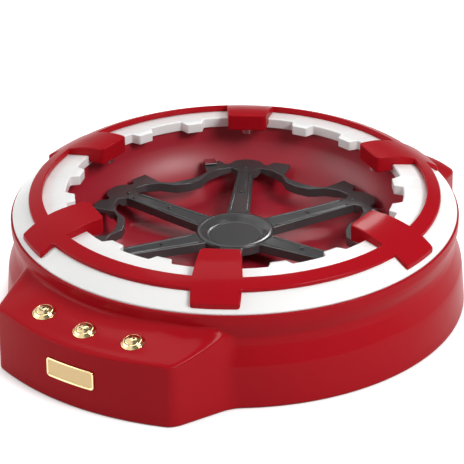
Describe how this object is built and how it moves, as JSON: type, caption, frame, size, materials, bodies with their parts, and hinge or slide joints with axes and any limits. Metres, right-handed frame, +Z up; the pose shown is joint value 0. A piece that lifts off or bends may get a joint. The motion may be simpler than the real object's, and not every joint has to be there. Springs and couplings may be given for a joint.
{
  "type": "spin art machine",
  "caption": "Battery-driven spin art machine: a scalloped paper holder spins in a deep round splash bowl under a lamp ring, with push buttons on a front pod.",
  "frame": {"origin": "on the spin axis, at the level of the table the feet stand on", "axes": "+Z up along the spin axis; -Y towards the pod with the buttons; +X to the right of someone facing the buttons"},
  "size_m": [0.3335, 0.3955, 0.0928],
  "materials": {
    "red_body": "gloss",
    "red_bowl": "gloss",
    "white_body": "gloss",
    "dark_grey": "satin",
    "black_body": "satin",
    "gear_white": "satin",
    "board_green": "satin",
    "cell_sleeve": "gloss",
    "diode_white": "gloss",
    "clear_lens": "polished",
    "foot_rubber": "matte",
    "gold_chrome": "polished",
    "bright_chrome": "polished",
    "pale_gold": "brushed",
    "screw_steel": "satin",
    "zinc_plate": "satin",
    "brass": "satin"
  },
  "bodies": {
    "body": {"outer_housing": "red_body", "base_plate": "black_body", "base_screws": "screw_steel", "rubber_feet": "foot_rubber", "splash_bowl": "red_bowl", "rim_ring": "white_body", "rim_screws": "screw_steel", "lamp_ring": "red_body", "lamp_reflectors": "bright_chrome", "lamp_lenses": "clear_lens", "lamp_leds": "diode_white", "drive_plate": "zinc_plate", "drive_plate_screws": "screw_steel", "motor_can": "zinc_plate", "motor_end_cap": "black_body", "motor_screws": "screw_steel", "spindle_bushes": "brass", "thrust_washer": "gear_white", "button_bezels": "gold_chrome", "tact_switches": "black_body", "switch_board": "board_green", "board_screws": "screw_steel", "battery_box": "black_body", "battery_cells": "cell_sleeve", "battery_springs": "bright_chrome", "battery_contacts": "bright_chrome", "name_plate": "pale_gold"},
    "turntable": {"spinner": "dark_grey", "paper_clips": "bright_chrome", "spindle": "screw_steel", "drive_gear": "gear_white", "retaining_ring": "screw_steel"},
    "motor_rotor": {"motor_shaft": "screw_steel", "motor_pinion": "brass"},
    "left_button": {"button_left": "gold_chrome"},
    "middle_button": {"button_middle": "gold_chrome"},
    "right_button": {"button_right": "gold_chrome"},
    "battery_hatch": {"battery_door": "black_body", "battery_door_screw": "screw_steel"}
  },
  "joints": [
    {"name": "spinner_spin", "type": "hinge", "parent": "body", "child": "turntable", "pos_m": [0, 0, 0.045], "axis": [0, 0, 1], "continuous": true},
    {"name": "motor_spin", "type": "hinge", "parent": "body", "child": "motor_rotor", "pos_m": [0.03, 0, 0.028], "axis": [0, 0, 1], "continuous": true},
    {"name": "left_button_press", "type": "slide", "parent": "body", "child": "left_button", "axis": [0, 0.1959, -0.9806], "range_m": [0, 0.0015], "stiffness_N_per_m": 300, "springref_m": -0.001},
    {"name": "middle_button_press", "type": "slide", "parent": "body", "child": "middle_button", "axis": [0, 0.1959, -0.9806], "range_m": [0, 0.0015], "stiffness_N_per_m": 300, "springref_m": -0.001},
    {"name": "right_button_press", "type": "slide", "parent": "body", "child": "right_button", "axis": [0, 0.1959, -0.9806], "range_m": [0, 0.0015], "stiffness_N_per_m": 300, "springref_m": -0.001},
    {"name": "battery_hatch_release", "type": "slide", "parent": "body", "child": "battery_hatch", "axis": [0, 0, -1], "range_m": [0, 0.03]}
  ],
  "couplings": [
    {"joint": "motor_spin", "follows": "spinner_spin", "ratio": -4}
  ]
}
